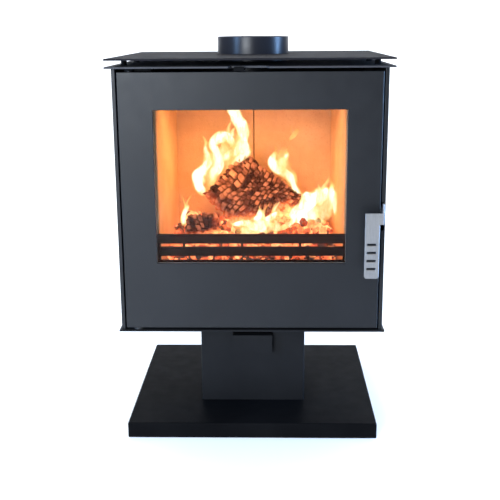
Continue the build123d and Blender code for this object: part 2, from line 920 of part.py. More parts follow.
# A folded channel on the firebox's back wall that feeds the holes in the rear bricks.
channel_front = rear_brick_face + rear_brick + brick_gap
channel_half = firebox_inner - 6.0
channel_top = baffle_low - 2.0
with BuildPart() as tertiary_air_channel:
    block(
        (-channel_half, channel_half),
        (channel_front, firebox_inner_back),
        (grate_level, channel_top),
    )
    block(
        (-channel_half + casing_sheet, channel_half - casing_sheet),
        (channel_front + casing_sheet, firebox_inner_back),
        (grate_level + casing_sheet, channel_top - casing_sheet),
        Mode.SUBTRACT,
    )
    for side in (-1, 1):
        with BuildSketch(facing(BACK, side * firebox_inner / 2, channel_front, tertiary_hole_z)):
            with GridLocations(tertiary_pitch, 1.0, 4, 1):
                Circle(tertiary_hole)
        extrude(amount=casing_sheet, mode=Mode.SUBTRACT)
tertiary_air_channel.part.label = "tertiary_air_channel"

with BuildPart() as baffle:
    block(
        (-firebox_inner + brick_gap, firebox_inner - brick_gap),
        (firebox_front + baffle_front_gap, firebox_inner_back - brick_gap),
        (baffle_low, baffle_low + baffle_thickness),
    )
    chamfer(baffle.edges().group_by(Axis.Y)[0].filter_by(Axis.X), length=4.0)
baffle.part.label = "baffle"

pan_low = ash_floor + moving_clearance
pan_half = pan_width / 2
pan_front = firebox_front + pan_front_gap
pan_back = firebox_inner_back - pan_rear_gap
pan_lip = 9.0
with BuildPart() as ash_pan:
    block((-pan_half, pan_half), (pan_front, pan_back), (pan_low, pan_low + pan_height))
    fillet(ash_pan.edges().filter_by(Axis.Z), radius=6.0)
    block(
        (-pan_half + pan_wall, pan_half - pan_wall),
        (pan_front + pan_wall, pan_back - pan_wall),
        (pan_low + pan_wall, pan_low + pan_height),
        Mode.SUBTRACT,
    )
    # The lip that the carrying tool hooks under.
    block(
        (-pan_half / 3, pan_half / 3),
        (pan_front - pan_lip, pan_front),
        (pan_low + pan_height - pan_wall, pan_low + pan_height),
    )
    block(
        (-pan_half / 3, pan_half / 3),
        (pan_front - pan_lip, pan_front - pan_lip + pan_wall),
        (pan_low + pan_height - pan_lip, pan_low + pan_height),
    )
ash_pan.part.label = "ash_pan"

# ==== Log guard, which lifts out of a holder at each end ====

guard_low = hearth + moving_clearance
guard_top = guard_low + guard_height
top_slot_low = guard_top - guard_top_bar - guard_top_slot
low_slot_low = top_slot_low - guard_mid_bar - guard_low_slot
guard_opening = guard_half - guard_end_bar
guard_ties = [-0.745 * guard_opening, -0.106 * guard_opening, 0.533 * guard_opening]
with BuildPart() as log_guard:
    block((-guard_half, guard_half), (guard_front, guard_back), (guard_low, guard_top))
    for low, height in ((top_slot_low, guard_top_slot), (low_slot_low, guard_low_slot)):
        block(
            (-guard_opening, guard_opening),
            (guard_front, guard_back),
            (low, low + height),
            Mode.SUBTRACT,
        )
    for x in guard_ties:
        block(
            (x - guard_tie / 2, x + guard_tie / 2),
            (guard_front, guard_back),
            (top_slot_low, top_slot_low + guard_top_slot),
        )
    fillet(log_guard.edges().filter_by(Axis.X).group_by(Axis.Z)[-1], radius=1.0)
log_guard.part.label = "log_guard"

holder_wall = 3.5
holder_height = 44.0
with BuildPart() as log_guard_holders:
    for side in (-1, 1):
        block(
            span(side, throat_half + 0.5, firebox_inner),
            (guard_front - holder_wall, guard_back + holder_wall),
            (hearth - 4.0, hearth + holder_height),
        )
        block(
            span(side, throat_half + 0.5, guard_half + moving_clearance),
            (guard_front - moving_clearance, guard_back + moving_clearance),
            (hearth, hearth + holder_height),
            Mode.SUBTRACT,
        )
log_guard_holders.part.label = "log_guard_holders"

# ==== Door ====

with BuildPart() as door_panel:
    block((-door_half, door_half), (door_front, door_back), (door_low, door_high))
    block((-window_half, window_half), (door_front, door_back), (window_low, window_high), Mode.SUBTRACT)
    chamfer(door_panel.edges().group_by(Axis.Y)[0], length=0.7)
door_panel.part.label = "door_panel"

gasket_back = door_back + gasket_thickness
glass_back = gasket_back + glass_thickness
glass_half = window_half + glass_overlap
glass_low = window_low - glass_overlap
glass_high = window_high + glass_overlap

with BuildPart() as glass_gasket:
    block((-glass_half, glass_half), (door_back, gasket_back), (glass_low, glass_high))
    block((-window_half, window_half), (door_back, gasket_back), (window_low, window_high), Mode.SUBTRACT)
glass_gasket.part.label = "glass_gasket"

with BuildPart() as window_glass:
    block((-glass_half, glass_half), (gasket_back, glass_back), (glass_low, glass_high))
window_glass.part.label = "window_glass"

clip_x = glass_half * 0.62
clip_width = 26.0
clip_foot = 13.0
clip_grip = 6.0
clip_lift = casing_sheet
clip_edges = [(glass_high, 1), (glass_low, -1)]


def along(edge, direction, near, far):
    """The Z limits of something beside one of the glass's edges."""
    low, high = edge + direction * near, edge + direction * far
    return (min(low, high), max(low, high))


with BuildPart() as glass_clips:
    for edge, direction in clip_edges:
        for side in (-1, 1):
            limits = (side * clip_x - clip_width / 2, side * clip_x + clip_width / 2)
            block(limits, (door_back, glass_back + clip_lift), along(edge, direction, 0.5, clip_foot))
            block(limits, (glass_back, glass_back + clip_lift), along(edge, direction, -clip_grip, 0.5))
            drill(
                BACK,
                side * clip_x,
                door_back,
                edge + direction * clip_foot / 2,
                screw_radius,
                glass_back + clip_lift - door_back,
            )
glass_clips.part.label = "glass_clips"

clip_seats = [
    facing(BACK, side * clip_x, glass_back + clip_lift, edge + direction * clip_foot / 2)
    for edge, direction in clip_edges
    for side in (-1, 1)
]
glass_clip_screws = fasteners(
    clip_seats, screw_radius, glass_back + clip_lift - door_back, screw_head_radius, screw_head_height
)
glass_clip_screws.part.label = "glass_clip_screws"

# The rope seal presses on the middle of the firebox's front frame, all the way round.
rope_half = (throat_half + frame_half) / 2 - 1.0
rope_low = (floor_level + ash_floor) / 2 + 2.0
rope_high = (throat_high + firebox_top) / 2 - 6.0
rope_middle = (rope_low + rope_high) / 2
rope_tall = rope_high - rope_low
rope_front = door_back + seal_channel_depth - rope_sunk
channel_width = rope_width + 2 * seal_channel_wall


def ring(width):
    """A rectangular ring round the door, centred on the rope's line."""
    Rectangle(2 * rope_half + width, rope_tall + width)
    Rectangle(2 * rope_half - width, rope_tall - width, mode=Mode.SUBTRACT)


with BuildPart() as seal_channel:
    with BuildSketch(facing(BACK, 0, door_back, rope_middle)):
        ring(channel_width)
    extrude(amount=seal_channel_depth)
    with BuildSketch(facing(BACK, 0, rope_front, rope_middle)):
        ring(rope_width)
    extrude(amount=rope_sunk, mode=Mode.SUBTRACT)
seal_channel.part.label = "seal_channel"

with BuildPart() as door_seal:
    with BuildSketch(facing(BACK, 0, rope_front, rope_middle)):
        ring(rope_width)
    extrude(amount=seal_face - moving_clearance - rope_front)
    fillet(door_seal.edges().group_by(Axis.Y)[-1], radius=rope_width / 3)
door_seal.part.label = "door_seal"

# ==== Hinges ====

lug_half = hinge_lug_width / 2
lug_back = hinge_y + lug_half
lug_levels = [(door_low, door_low + hinge_lug_height), (door_high - hinge_lug_height, door_high)]
with BuildPart() as hinge_lugs:
    for low, high in lug_levels:
        block((hinge_x - lug_half, hinge_x + lug_half), (door_back, lug_back), (low, high))
    fillet(hinge_lugs.edges().filter_by(Axis.Z).group_by(Axis.Y)[-1], radius=5.0)
    for low, high in lug_levels:
        drill(UP, hinge_x, hinge_y, low, hinge_pin_radius, high - low)
hinge_lugs.part.label = "hinge_lugs"

bracket_low = door_high + 1.2
bracket_high = body_top - 1.0
with BuildPart() as hinge_pins:
    rod(UP, hinge_x, hinge_y, pedestal_top, hinge_pin_radius, lug_levels[0][1] - pedestal_top)
    rod(UP, hinge_x, hinge_y, lug_levels[1][0], hinge_pin_radius, bracket_high - lug_levels[1][0])
hinge_pins.part.label = "hinge_pins"

with BuildPart() as hinge_washer:
    rod(UP, hinge_x, hinge_y, floor_level, lug_half, door_bottom_gap - moving_clearance)
    drill(
        UP,
        hinge_x,
        hinge_y,
        floor_level,
        hinge_pin_radius + running_clearance,
        door_bottom_gap - moving_clearance,
    )
hinge_washer.part.label = "hinge_washer"

bracket_leg = 22.0
bracket_back = firebox_front + 14.0
bracket_plate = 4.0
bracket_right = -firebox_half + bracket_leg
with BuildPart() as hinge_bracket_upper:
    block(
        (hinge_x - lug_half, bracket_right),
        (hinge_y, bracket_back),
        (bracket_low, bracket_high),
    )
    rod(UP, hinge_x, hinge_y, bracket_low, lug_half, bracket_high - bracket_low)
    block(
        (-firebox_half, bracket_right),
        (bracket_back - bracket_plate, bracket_back),
        (firebox_top, bracket_low),
    )
    drill(
        UP,
        hinge_x,
        hinge_y,
        bracket_low,
        hinge_pin_radius + running_clearance,
        bracket_high - bracket_low,
    )
hinge_bracket_upper.part.label = "hinge_bracket_upper"

# ==== Latch: a bracket behind the door, the pin it carries and the bent handle plate ====

latch_bracket_out = latch_in - 2.9
latch_bracket_in = latch_bracket_out - latch_sheet
latch_bracket_tall = 26.0
with BuildPart() as latch_bracket:
    block(
        (latch_bracket_in, latch_bracket_out),
        (door_back, latch_y + latch_boss),
        (latch_z - latch_bracket_tall, latch_z + latch_bracket_tall),
    )
    block(
        (latch_bracket_in - 15.0, latch_bracket_in),
        (door_back, door_back + latch_sheet),
        (latch_z - latch_bracket_tall, latch_z + latch_bracket_tall),
    )
    drill(RIGHT, latch_bracket_in, latch_y, latch_z, latch_pin_radius, latch_sheet)
latch_bracket.part.label = "latch_bracket"

latch_spacer_out = latch_in - moving_clearance
with BuildPart() as latch_spacer:
    rod(RIGHT, latch_bracket_out, latch_y, latch_z, 5.5, latch_spacer_out - latch_bracket_out)
    drill(
        RIGHT, latch_bracket_out, latch_y, latch_z, latch_pin_radius, latch_spacer_out - latch_bracket_out
    )
latch_spacer.part.label = "latch_spacer"

pin_head = 1.2
pin_start = latch_bracket_in - pin_head
pin_end = latch_out + moving_clearance
with BuildPart() as latch_pivot_pin:
    rod(RIGHT, pin_start, latch_y, latch_z, latch_pin_radius, pin_end - pin_start)
    rod(RIGHT, pin_start, latch_y, latch_z, latch_pin_radius + 2.0, pin_head)
    rod(RIGHT, pin_end, latch_y, latch_z, latch_pin_radius + 2.0, pin_head)
latch_pivot_pin.part.label = "latch_pivot_pin"

neck_below = 11.0
neck_above = 5.0
hook_drop = 26.0
hook_back = 12.0
hook_throat = 4.6
grip_right = grip_left + grip_width
grip_middle = grip_left + grip_width / 2 - 0.7
throat_y = latch_y + hook_back - 2.5
throat_z = latch_z - hook_drop + 9.0
with BuildPart() as latch_handle:
    # The grip and the tab at its top right.
    block((grip_left, grip_right), (handle_front, handle_front + latch_sheet), (grip_bottom, grip_top))
    fillet(
        latch_handle.edges().filter_by(Axis.Y).group_by(Axis.Z)[0],
        radius=4.5,
    )
    block(
        (grip_right - 1.0, latch_out),
        (handle_front, handle_front + latch_sheet),
        (grip_top - latch_tab_drop, grip_top),
    )
    # The side plate: a flare behind the tab, a neck past the door's edge, and the boss.
    block(
        (latch_in, latch_out),
        (handle_front, handle_front + latch_flare_depth),
        (grip_top - latch_tab_drop, grip_top + latch_flare_rise),
    )
    block(
        (latch_in, latch_out),
        (handle_front, latch_y),
        (latch_z - neck_below, latch_z + neck_above),
    )
    rod(RIGHT, latch_in, latch_y, latch_z, latch_boss, latch_sheet)
    # The hook that hangs from the boss, open towards the back for the catch pin.
    block(
        (latch_in, latch_out),
        (latch_y, latch_y + hook_back),
        (latch_z - hook_drop, latch_z),
    )
    drill(RIGHT, latch_in, throat_y, throat_z, hook_throat, latch_sheet)
    block(
        (latch_in, latch_out),
        (throat_y, latch_y + hook_back),
        (throat_z - hook_throat, throat_z + hook_throat),
        Mode.SUBTRACT,
    )
    drill(RIGHT, latch_in, latch_y, latch_z, latch_pin_radius + running_clearance, latch_sheet)
    # Four finger slots low on the grip.
    with BuildSketch(facing(FRONT, grip_middle, handle_front, grip_bottom)):
        with Locations((0, 17.0 + 1.5 * grip_slot_pitch)):
            with GridLocations(1.0, grip_slot_pitch, 1, 4):
                RectangleRounded(grip_slot_width, grip_slot_height, 1.0)
    extrude(amount=-latch_sheet, mode=Mode.SUBTRACT)
    chamfer(
        latch_handle.edges().group_by(Axis.Y)[0].filter_by(GeomType.LINE).filter_by(Axis.Z),
        length=0.8,
    )
latch_handle.part.label = "latch_handle"

# A short pin on the casing, beside the hook. It ends just clear of the hook's plane.
catch_start = latch_out + latch_sweep + moving_clearance
with BuildPart() as catch_pin:
    rod(RIGHT, catch_start, throat_y, throat_z, hook_throat - 0.6, casing_inner - catch_start)
catch_pin.part.label = "catch_pin"

# ==== Fuel ====

ember_gap = 3.0
ember_half = floor_half - ember_gap
with BuildPart() as ember_bed:
    block(
        (-ember_half, ember_half),
        (brick_front + ember_gap, rear_brick_face - ember_gap),
        (hearth, ember_top),
    )
    chamfer(ember_bed.edges().group_by(Axis.Z)[-1], length=ember_slope)
ember_bed.part.label = "ember_bed"

log_low = ember_top + moving_clearance
log_back = rear_brick_face - log_rear_gap
log_front = log_back - log_depth
log_left = -brick_half_rear + log_left_gap
log_right = brick_half_rear - log_right_gap
log_high = baffle_low - fuel_headroom
log_rise = log_high - log_low
log_run = log_right - log_left
log_plane = facing(FRONT, log_left, log_front, log_low)

# A split log that leans on a smaller one: a ridge near its left end, falling to the right.
with BuildPart() as log_large:
    with BuildSketch(log_plane):
        with BuildLine():
            Polyline(
                (0.0, 0.60 * log_rise),
                (0.38 * log_run, log_rise),
                (0.77 * log_run, 0.55 * log_rise),
                (log_run, 0.36 * log_rise),
                (0.94 * log_run, 0.06 * log_rise),
                (0.74 * log_run, 0.0),
                (0.28 * log_run, 0.18 * log_rise),
                close=True,
            )
        make_face()
    extrude(amount=-log_depth)
log_large.part.label = "log_large"

small_log_left = -brick_half_rear + small_log_left_gap
small_log_y = log_front - small_log_radius - log_spacing
small_log_z = log_low + small_log_radius
with BuildPart() as log_small:
    with BuildSketch(facing(RIGHT, small_log_left, small_log_y, small_log_z)):
        RegularPolygon(small_log_radius, 9)
    extrude(amount=small_log_length)
    chamfer(log_small.faces().sort_by(Axis.X)[-1].edges(), length=3.0)
log_small.part.label = "log_small"

# ==== One file for each piece ====

pieces = [
    base_plate,
    pedestal_shell,
    pedestal_rear_cover,
    pedestal_cover_screws,
    pedestal_base_bolts,
    pedestal_top_bolts,
    air_valve_box,
    primary_air_slide,
    bottom_plate,
    side_casing_left,
    side_casing_right,
    rear_casing,
    rear_casing_screws,
    top_plate_upper,
    top_plate_lower,
    top_spacers,
    flue_collar,
    collar_bolts,
    firebox_front_frame,
    firebox_floor,
    firebox_side_left,
    firebox_side_right,
    firebox_rear,
    firebox_top_plate,
    air_wash_deflector,
    air_wash_slider,
    grate_frame,
    grate,
    floor_brick_front,
    floor_brick_rear,
    floor_bricks_side,
    side_brick_left,
    side_brick_right,
    rear_brick_left,
    rear_brick_right,
    tertiary_air_channel,
    baffle,
    ash_pan,
    log_guard,
    log_guard_holders,
    door_panel,
    window_glass,
    glass_gasket,
    glass_clips,
    glass_clip_screws,
    seal_channel,
    door_seal,
    hinge_lugs,
    hinge_pins,
    hinge_washer,
    hinge_bracket_upper,
    latch_bracket,
    latch_spacer,
    latch_pivot_pin,
    latch_handle,
    catch_pin,
    ember_bed,
    log_large,
    log_small,
]
for piece in pieces:
    export_step(piece.part, f"parts/{piece.part.label}.step")
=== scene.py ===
import json
import math
import random

import bmesh
import bpy
import numpy as np
from mathutils import Matrix, Vector, noise


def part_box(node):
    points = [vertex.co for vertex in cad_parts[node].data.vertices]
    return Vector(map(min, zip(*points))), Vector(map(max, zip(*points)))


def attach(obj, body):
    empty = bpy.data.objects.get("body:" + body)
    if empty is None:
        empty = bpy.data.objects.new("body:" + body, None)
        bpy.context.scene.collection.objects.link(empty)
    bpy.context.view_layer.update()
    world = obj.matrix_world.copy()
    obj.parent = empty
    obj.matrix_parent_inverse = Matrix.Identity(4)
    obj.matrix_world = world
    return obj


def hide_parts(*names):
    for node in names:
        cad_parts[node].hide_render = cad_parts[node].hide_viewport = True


noise.seed_set(23)  # or else noise_vector starts from the clock

# The looks of a wood burning stove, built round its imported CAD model. Metres, Z up, the
# door faces -Y. Every place is worked out from the boxes of the CAD nodes.

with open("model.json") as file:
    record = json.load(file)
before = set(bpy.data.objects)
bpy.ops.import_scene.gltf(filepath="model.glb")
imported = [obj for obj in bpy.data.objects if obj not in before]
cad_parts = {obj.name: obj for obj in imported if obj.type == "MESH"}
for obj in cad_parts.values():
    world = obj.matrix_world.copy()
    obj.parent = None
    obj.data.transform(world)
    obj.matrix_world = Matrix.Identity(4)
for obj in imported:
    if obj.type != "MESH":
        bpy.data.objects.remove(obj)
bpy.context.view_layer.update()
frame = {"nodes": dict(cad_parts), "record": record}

BODY = "stove_body"


# ==== Small helpers for node materials ====


def new_material(name, **inputs):
    """A material with one Principled shader, its constant values set on its own sockets."""
    material = bpy.data.materials.new(name)
    material.use_nodes = True
    shader = material.node_tree.nodes["Principled BSDF"]
    for key, value in inputs.items():
        shader.inputs[key.replace("_", " ")].default_value = value
    return material, material.node_tree, shader


def node(tree, kind, **settings):
    """A node with its properties and sockets set by name."""
    made = tree.nodes.new(kind)
    for key, value in settings.items():
        if hasattr(made, key):
            setattr(made, key, value)
        else:
            made.inputs[key.replace("_", " ")].default_value = value
    return made


def object_coordinates(tree, stretch=(1.0, 1.0, 1.0)):
    """Coordinates that stay with the piece, in metres times the stretch."""
    coordinates = tree.nodes.new("ShaderNodeTexCoord")
    mapping = node(tree, "ShaderNodeMapping", Scale=stretch)
    tree.links.new(coordinates.outputs["Object"], mapping.inputs["Vector"])
    return mapping.outputs["Vector"]


def noise_texture(tree, scale, detail=4.0, roughness=0.55, stretch=(1.0, 1.0, 1.0)):
    """The value of a noise texture with features of about 1 / scale metres."""
    made = node(tree, "ShaderNodeTexNoise", Scale=scale, Detail=detail, Roughness=roughness)
    tree.links.new(object_coordinates(tree, stretch), made.inputs["Vector"])
    return made.outputs["Fac"]


def voronoi_texture(tree, scale):
    """The distance output of a Voronoi texture with cells of about 1 / scale metres."""
    made = node(tree, "ShaderNodeTexVoronoi", Scale=scale)
    tree.links.new(object_coordinates(tree), made.inputs["Vector"])
    return made.outputs["Distance"]


def ramp(tree, factor, stops):
    """A colour ramp: stops are (position, colour) pairs."""
    made = tree.nodes.new("ShaderNodeValToRGB")
    elements = made.color_ramp.elements
    while len(elements) < len(stops):
        elements.new(0.5)
    for element, (position, colour) in zip(elements, stops):
        element.position = position
        element.color = (*colour, 1.0)
    tree.links.new(factor, made.inputs["Fac"])
    return made.outputs["Color"]


def remap(tree, factor, from_low, from_high, to_low, to_high):
    """A value moved from one range into another."""
    made = node(
        tree,
        "ShaderNodeMapRange",
        From_Min=from_low,
        From_Max=from_high,
        To_Min=to_low,
        To_Max=to_high,
    )
    tree.links.new(factor, made.inputs["Value"])
    return made.outputs["Result"]


def combine(tree, operation, first, second):
    """Two values put together by one arithmetic operation."""
    made = node(tree, "ShaderNodeMath", operation=operation)
    for socket, value in zip(made.inputs, (first, second)):
        if isinstance(value, (int, float)):
            socket.default_value = value
        else:
            tree.links.new(value, socket)
    return made.outputs["Value"]


def weighted(tree, value, weight):
    """A value times a constant."""
    return combine(tree, "MULTIPLY", value, weight)


def blend_colours(tree, factor, first, second):
    """Two colours mixed by a factor."""
    made = node(tree, "ShaderNodeMix", data_type="RGBA")
    sockets = (made.inputs[0], made.inputs[6], made.inputs[7])
    for socket, value in zip(sockets, (factor, first, second)):
        if isinstance(value, (int, float)):
            socket.default_value = value
        elif isinstance(value, tuple):
            socket.default_value = (*value, 1.0)
        else:
            tree.links.new(value, socket)
    return made.outputs[2]


def add_bump(tree, shader, height, distance, strength=1.0):
    """Surface relief of a given depth in metres."""
    made = node(tree, "ShaderNodeBump", Strength=strength, Distance=distance)
    tree.links.new(height, made.inputs["Height"])
    tree.links.new(made.outputs["Normal"], shader.inputs["Normal"])


def attribute(tree, name):
    """A value stored on the mesh's points."""
    made = node(tree, "ShaderNodeAttribute", attribute_name=name)
    return made.outputs["Fac"]


# ==== Materials ====


def painted_steel(name, dark, light, roughness, specular=0.35, grain=1500.0, relief=0.00004):
    """Satin stove paint: faint mottling, a fine sprayed grain and an uneven sheen."""
    material, tree, shader = new_material(name, Metallic=0.0)
    shader.inputs["Specular IOR Level"].default_value = specular
    mottling = noise_texture(tree, 9.0, 5.0)
    tree.links.new(ramp(tree, mottling, [(0.3, dark), (0.7, light)]), shader.inputs["Base Color"])
    sheen = noise_texture(tree, 40.0, 3.0)
    tree.links.new(
        remap(tree, sheen, 0.3, 0.7, roughness - 0.04, roughness + 0.05), shader.inputs["Roughness"]
    )
    add_bump(tree, shader, noise_texture(tree, grain, 2.0), relief, 0.5)
    return material


def brushed_metal(name, dark, light, roughness, stretch):
    """Steel with fine lines along one direction, bright where the lines are cut deepest."""
    material, tree, shader = new_material(name, Metallic=1.0)
    lines = noise_texture(tree, 1.0, 6.0, 0.7, stretch)
    clouds = noise_texture(tree, 30.0, 3.0)
    tone = combine(tree, "ADD", weighted(tree, lines, 0.7), weighted(tree, clouds, 0.3))
    tree.links.new(ramp(tree, tone, [(0.35, dark), (0.65, light)]), shader.inputs["Base Color"])
    tree.links.new(
        remap(tree, lines, 0.3, 0.7, roughness - 0.06, roughness + 0.08), shader.inputs["Roughness"]
    )
    add_bump(tree, shader, lines, 0.00003, 0.6)
    return material


def cast_iron(name, dark, light, roughness):
    """Sand-cast iron: a pebbled skin with soft dark patches."""
    material, tree, shader = new_material(name)
    patches = noise_texture(tree, 25.0, 6.0)
    tree.links.new(ramp(tree, patches, [(0.3, dark), (0.7, light)]), shader.inputs["Base Color"])
    tree.links.new(
        remap(tree, patches, 0.3, 0.7, roughness + 0.08, roughness - 0.05), shader.inputs["Roughness"]
    )
    pebbles = voronoi_texture(tree, 420.0)
    add_bump(tree, shader, combine(tree, "ADD", pebbles, noise_texture(tree, 900.0)), 0.00012, 0.5)
    return material


def refractory(name, dark, light, pit_depth):
    """Pale fired brick: mottled, speckled and pitted."""
    material, tree, shader = new_material(name, Roughness=0.92)
    shader.inputs["Specular IOR Level"].default_value = 0.2
    mottling = noise_texture(tree, 14.0, 8.0, 0.6)
    specks = noise_texture(tree, 260.0, 3.0)
    base = ramp(tree, mottling, [(0.3, dark), (0.7, light)])
    speckled = blend_colours(
        tree, remap(tree, specks, 0.58, 0.72, 0.0, 0.35), base, tuple(0.55 * c for c in dark)
    )
    tree.links.new(speckled, shader.inputs["Base Color"])
    pits = remap(tree, voronoi_texture(tree, 160.0), 0.0, 0.35, 0.0, 1.0)
    add_bump(tree, shader, combine(tree, "ADD", pits, noise_texture(tree, 420.0, 5.0)), pit_depth, 0.6)
    return material


def ceramic_glass(name):
    """Clear heat-proof glass with a faint smoky film."""
    material, tree, shader = new_material(name, IOR=1.17, Transmission_Weight=1.0)
    film = noise_texture(tree, 12.0, 4.0)
    tree.links.new(
        ramp(tree, film, [(0.35, (0.76, 0.73, 0.68)), (0.7, (0.82, 0.79, 0.75))]),
        shader.inputs["Base Color"],
    )
    tree.links.new(remap(tree, film, 0.3, 0.7, 0.0, 0.02), shader.inputs["Roughness"])
    return material


def knitted_rope(name, dark, light):
    """Knitted glass fibre."""
    material, tree, shader = new_material(name, Roughness=0.95, Sheen_Weight=0.3)
    stitches = node(tree, "ShaderNodeTexWave", Scale=120.0, Distortion=3.0, Detail=2.0)
    tree.links.new(object_coordinates(tree), stitches.inputs["Vector"])
    fibres = noise_texture(tree, 900.0, 4.0)
    knit = combine(tree, "ADD", stitches.outputs["Fac"], weighted(tree, fibres, 0.6))
    tree.links.new(
        ramp(tree, knit, [(0.2, dark), (1.0, light)]),
        shader.inputs["Base Color"],
    )
    add_bump(tree, shader, knit, 0.0006, 0.8)
    return material


def charred_wood(name, glow):
    """Checked charcoal: painted shade darkens the cracks to near black, ash-pink on some blocks, red heat in
    places.
    """
    material, tree, shader = new_material(name, Roughness=0.85)
    shader.inputs["Specular IOR Level"].default_value = 0.25
    crack = attribute(tree, "crack")
    warmth = attribute(tree, "warmth")
    tone = attribute(tree, "tone")
    grain = noise_texture(tree, 260.0, 8.0, 0.7)
    ash = noise_texture(tree, 70.0, 6.0, 0.6)
    block = ramp(
        tree,
        combine(tree, "ADD", weighted(tree, tone, 0.55), weighted(tree, grain, 0.5)),
        [(0.25, (0.024, 0.009, 0.010)), (0.5, (0.11, 0.045, 0.042)), (0.75, (0.24, 0.11, 0.09))],
    )
    ashy = combine(tree, "ADD", ash, weighted(tree, tone, 0.25))
    dusting = combine(
        tree,
        "MULTIPLY",
        remap(tree, crack, 0.1, 0.5, 1.0, 0.0),
        remap(tree, ashy, 0.58, 0.78, 0.0, 1.0),
    )
    dusted = blend_colours(tree, dusting, block, (0.52, 0.29, 0.23))
    # Painted shade: the cracks are darkened towards near black by their depth.
    dark = remap(tree, crack, 0.25, 0.85, 0.0, 0.92)
    tree.links.new(blend_colours(tree, dark, dusted, (0.006, 0.003, 0.003)), shader.inputs["Base Color"])
    patchy = combine(tree, "ADD", grain, weighted(tree, tone, 0.3))
    flicker = remap(tree, patchy, 0.4, 0.85, 0.25, 1.0)
    ember = combine(tree, "MULTIPLY", remap(tree, warmth, 0.25, 1.1, 0.0, 1.0), flicker)
    tree.links.new(
        ramp(
            tree,
            ember,
            [
                (0.0, (0.0, 0.0, 0.0)),
                (0.10, (0.16, 0.02, 0.008)),
                (0.28, (0.75, 0.17, 0.05)),
                (0.6, (1.0, 0.50, 0.17)),
            ],
        ),
        shader.inputs["Emission Color"],
    )
    shader.inputs["Emission Strength"].default_value = glow
    material.cycles.emission_sampling = "NONE"
    add_bump(tree, shader, combine(tree, "ADD", grain, noise_texture(tree, 700.0, 4.0)), 0.0012, 0.7)
    return material


def glowing_coal(name, glow):
    """Burning charcoal: grey ash skins over orange heat that shows between them."""
    material, tree, shader = new_material(name, Roughness=0.95)
    warmth = attribute(tree, "warmth")
    skin = noise_texture(tree, 110.0, 6.0, 0.6)
    tree.links.new(
        ramp(
            tree,
            skin,
            [(0.35, (0.02, 0.010, 0.008)), (0.55, (0.14, 0.07, 0.06)), (0.75, (0.45, 0.33, 0.30))],
        ),
        shader.inputs["Base Color"],
    )
    uncovered = combine(tree, "SUBTRACT", warmth, weighted(tree, skin, 1.6))
    bare = remap(tree, uncovered, -0.75, 0.35, 0.0, 1.0)
    tree.links.new(
        ramp(
            tree,
            bare,
            [
                (0.0, (0.0, 0.0, 0.0)),
                (0.25, (0.45, 0.05, 0.015)),
                (0.5, (1.0, 0.20, 0.06)),
                (0.85, (1.0, 0.55, 0.22)),
            ],
        ),
        shader.inputs["Emission Color"],
    )
    shader.inputs["Emission Strength"].default_value = glow
    add_bump(tree, shader, skin, 0.0015, 0.8)
    return material


def flame_light(name, strength):
    """Burning gas: pale yellow where a tongue is thick, orange and clear at its edges."""
    material, tree, shader = new_material(name, Roughness=1.0, Specular_IOR_Level=0.0)
    shader.inputs["Base Color"].default_value = (0.0, 0.0, 0.0, 1.0)
    facing = node(tree, "ShaderNodeLayerWeight", Blend=0.5).outputs["Facing"]
    middle = combine(tree, "POWER", combine(tree, "SUBTRACT", 1.0, facing), 2.9)
    body = combine(tree, "MULTIPLY", middle, attribute(tree, "core"))
    wisps = noise_texture(tree, 60.0, 5.0, 0.6, (1.0, 1.0, 0.35))
    ragged = combine(tree, "MULTIPLY", body, remap(tree, wisps, 0.38, 0.62, 0.30, 1.25))
    tree.links.new(
        ramp(
            tree,
            ragged,
            [
                (0.0, (1.0, 0.42, 0.10)),
                (0.2, (1.0, 0.68, 0.22)),
                (0.45, (1.0, 0.86, 0.48)),
                (0.75, (1.0, 0.98, 0.86)),
            ],
        ),
        shader.inputs["Emission Color"],
    )
    shader.inputs["Emission Strength"].default_value = strength
    tree.links.new(remap(tree, ragged, 0.0, 0.7, 0.0, 0.9), shader.inputs["Alpha"])
    material.cycles.emission_sampling = "NONE"
    return material


stove_paint = painted_steel(
    "stove_paint", (0.0060, 0.0066, 0.0080), (0.0080, 0.0087, 0.0104), roughness=0.40, specular=0.23
)
# A lighter copy of the stove paint with almost no sheen, on the upper top plate: painted light, its colour
# stands in for the sheen taken off it.
lightened_top_paint = painted_steel(
    "lightened_top_paint", (0.011, 0.0105, 0.0125), (0.015, 0.0142, 0.0165), roughness=0.65, specular=0.03
)
# A much lighter copy of the stove paint on the lower top plate: painted highlight, so its front edge shows a
# light line.
highlight_lightened_paint = painted_steel(
    "highlight_lightened_paint", (0.034, 0.034, 0.038), (0.044, 0.044, 0.048), roughness=0.55, specular=0.15
)
# A darker copy of the stove paint with almost no sheen: painted shade on the base plate, the top spacers, the
# air wash slider and the upper hinge bracket.
shade_darkened_paint = painted_steel(
    "shade_darkened_paint", (0.003, 0.003, 0.0034), (0.005, 0.005, 0.0054), roughness=0.5, specular=0.015
)
pedestal_paint = painted_steel(
    "pedestal_paint", (0.006, 0.0063, 0.0073), (0.009, 0.0093, 0.0103), roughness=0.5, specular=0.10
)
guard_paint = painted_steel(
    "guard_paint", (0.036, 0.009, 0.006), (0.050, 0.015, 0.0105), roughness=0.6, specular=0.02, relief=0.00002
)
collar_paint = painted_steel(
    "collar_paint", (0.010, 0.011, 0.015), (0.015, 0.016, 0.021), roughness=0.31, specular=0.21
)
firebox_paint = painted_steel(
    "firebox_paint", (0.010, 0.009, 0.009), (0.024, 0.021, 0.019), roughness=0.62, grain=900.0, relief=0.00008
)
black_fastener = painted_steel(
    "black_fastener", (0.018, 0.018, 0.019), (0.035, 0.035, 0.037), roughness=0.38, grain=2500.0
)
stainless = brushed_metal(
    "stainless", (0.22, 0.22, 0.222), (0.35, 0.348, 0.352), 0.36, (2200.0, 2200.0, 30.0)
)
